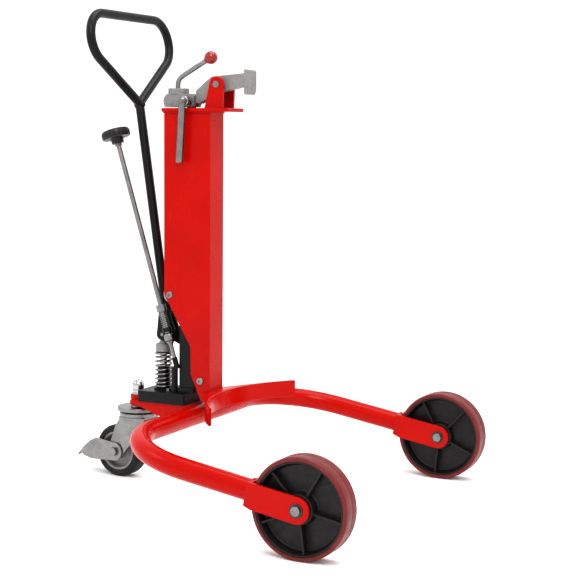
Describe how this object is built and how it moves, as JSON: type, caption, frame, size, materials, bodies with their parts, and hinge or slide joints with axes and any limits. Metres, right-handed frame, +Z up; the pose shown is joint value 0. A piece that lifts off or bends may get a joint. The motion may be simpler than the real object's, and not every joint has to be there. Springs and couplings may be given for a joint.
{
  "type": "hydraulic drum truck",
  "caption": "Hydraulic drum truck: bent tube frame on large front wheels and a braked rear caster, with a hand-pumped mast, a curved drum saddle and a beak clamp for the drum's rim.",
  "frame": {"origin": "centre of the bounding box in plan, on the floor", "axes": "+X forward towards the drum, +Y to the truck's left, +Z up"},
  "size_m": [0.8501, 0.842, 1.0541],
  "materials": {
    "red_paint": "gloss",
    "black_paint": "satin",
    "core_paint": "satin",
    "red_tyre": "satin",
    "black_rubber": "matte",
    "grey_casting": "satin",
    "zinc_steel": "satin",
    "dark_steel": "satin",
    "chrome_steel": "gloss",
    "nylon": "satin",
    "black_plastic": "satin",
    "red_ball": "gloss"
  },
  "bodies": {
    "chassis": {"frame_tube": "red_paint", "bracket_right": "red_paint", "bracket_left": "red_paint", "deck": "red_paint", "caster_boss": "red_paint", "caster_plate": "zinc_steel", "king_bolt": "zinc_steel", "dome_nut": "chrome_steel", "pump_block": "black_paint", "fill_plug": "zinc_steel", "guide_post": "black_paint", "post_gland": "zinc_steel", "pump_barrel": "black_paint", "valve_post": "black_paint", "handle_lug": "black_paint", "handle_pin": "zinc_steel", "axle_right": "zinc_steel", "axle_left": "zinc_steel", "axle_clips": "dark_steel", "hub_washers": "zinc_steel"},
    "wheel_right": {"tyre_right": "red_tyre", "core_right": "core_paint", "bearings_right": "zinc_steel"},
    "wheel_left": {"tyre_left": "red_tyre", "core_left": "core_paint", "bearings_left": "zinc_steel"},
    "caster_swivel": {"caster_race": "zinc_steel", "caster_fork": "zinc_steel", "caster_axle": "zinc_steel"},
    "caster_wheel": {"caster_tyre": "black_rubber", "caster_hub": "grey_casting", "caster_bearing": "zinc_steel"},
    "brake": {"brake_pedal": "zinc_steel"},
    "mast": {"mast_tube": "red_paint", "head_plate": "red_paint", "clamp_lugs": "red_paint", "saddle_band": "red_paint", "saddle_shelf": "red_paint", "lift_ram": "chrome_steel", "roller_axles": "zinc_steel", "beak_pin": "zinc_steel", "lock_spindle": "zinc_steel"},
    "upper_roller": {"roller_upper": "nylon"},
    "lower_roller": {"roller_lower": "nylon"},
    "beak": {"beak": "grey_casting"},
    "clamp_lever": {"cam_block": "grey_casting", "clamp_lever": "zinc_steel", "ball_knob": "red_ball"},
    "lock_bar": {"lock_bar": "zinc_steel"},
    "pump_handle": {"handle_loop": "black_paint", "handle_stem": "black_paint", "handle_bracket": "black_paint"},
    "push_roller": {"handle_roller": "zinc_steel"},
    "plunger": {"plunger": "chrome_steel", "plunger_cap": "grey_casting", "plunger_spring": "zinc_steel"},
    "release_rod": {"release_knob": "black_plastic", "release_rod": "zinc_steel", "rod_spring": "zinc_steel"},
    "lower_rod": {"lower_rod": "zinc_steel"}
  },
  "joints": [
    {"name": "wheel_right_spin", "type": "hinge", "parent": "chassis", "child": "wheel_right", "pos_m": [0.3245, -0.381, 0.1], "axis": [0, 1, 0], "continuous": true},
    {"name": "wheel_left_spin", "type": "hinge", "parent": "chassis", "child": "wheel_left", "pos_m": [0.3245, 0.381, 0.1], "axis": [0, 1, 0], "continuous": true},
    {"name": "caster_swivel", "type": "hinge", "parent": "chassis", "child": "caster_swivel", "pos_m": [-0.27554, 0, 0.14849], "axis": [-0.0192, 0, 0.9998], "continuous": true},
    {"name": "caster_wheel_spin", "type": "hinge", "parent": "caster_swivel", "child": "caster_wheel", "pos_m": [-0.31972, 0.00345, 0.06], "axis": [0.075, 0.9972, 0.0014], "continuous": true},
    {"name": "brake_press", "type": "hinge", "parent": "caster_swivel", "child": "brake", "pos_m": [-0.31972, 0.00345, 0.06], "axis": [-0.075, -0.9972, -0.0014], "range_deg": [0, 12]},
    {"name": "mast_lift", "type": "slide", "parent": "chassis", "child": "mast", "axis": [-0.0192, 0, 0.9998], "range_m": [0, 0.12]},
    {"name": "upper_roller_spin", "type": "hinge", "parent": "mast", "child": "upper_roller", "pos_m": [-0.18097, 0, 0.43236], "axis": [0, 1, 0], "range_deg": [-5, 373]},
    {"name": "lower_roller_spin", "type": "hinge", "parent": "mast", "child": "lower_roller", "pos_m": [-0.09938, 0, 0.24589], "axis": [0, 1, 0], "range_deg": [-373, 5]},
    {"name": "clamp_turn", "type": "hinge", "parent": "mast", "child": "clamp_lever", "pos_m": [-0.14718, 0, 0.86008], "axis": [0, 1, 0], "range_deg": [0, 21]},
    {"name": "beak_open", "type": "hinge", "parent": "mast", "child": "beak", "pos_m": [-0.07488, 0, 0.89748], "axis": [0, -1, 0], "range_deg": [0, 10.5]},
    {"name": "lock_bar_turn", "type": "hinge", "parent": "mast", "child": "lock_bar", "pos_m": [-0.14718, -0.047, 0.86008], "axis": [0, 1, 0], "range_deg": [-80, 80]},
    {"name": "handle_pump", "type": "hinge", "parent": "chassis", "child": "pump_handle", "pos_m": [-0.18313, 0, 0.3363], "axis": [0, -1, 0], "range_deg": [0, 45], "stiffness_Nm_per_rad": 16, "springref_deg": -20.05},
    {"name": "push_roller_spin", "type": "hinge", "parent": "pump_handle", "child": "push_roller", "pos_m": [-0.21018, 0, 0.33848], "axis": [0, 1, 0], "continuous": true},
    {"name": "plunger_slide", "type": "slide", "parent": "chassis", "child": "plunger", "axis": [0.0192, 0, -0.9998], "range_m": [0, 0.0225], "deforming": ["plunger_spring"]},
    {"name": "release_twist", "type": "hinge", "parent": "pump_handle", "child": "release_rod", "pos_m": [-0.18313, -0.0255, 0.3363], "axis": [-0.3117, 0, 0.9502], "range_deg": [0, 180]},
    {"name": "lower_rod_twist", "type": "hinge", "parent": "chassis", "child": "lower_rod", "pos_m": [-0.18313, -0.0255, 0.3363], "axis": [-0.3117, 0, 0.9502], "range_deg": [0, 180]}
  ],
  "couplings": [
    {"joint": "upper_roller_spin", "follows": "mast_lift", "rad_per_m": 53.476},
    {"joint": "lower_roller_spin", "follows": "mast_lift", "rad_per_m": -53.476},
    {"joint": "beak_open", "follows": "clamp_turn", "ratio": 0.476},
    {"joint": "plunger_slide", "follows": "handle_pump", "m_per_rad": 0.0272},
    {"joint": "lower_rod_twist", "follows": "release_twist", "ratio": 1}
  ]
}
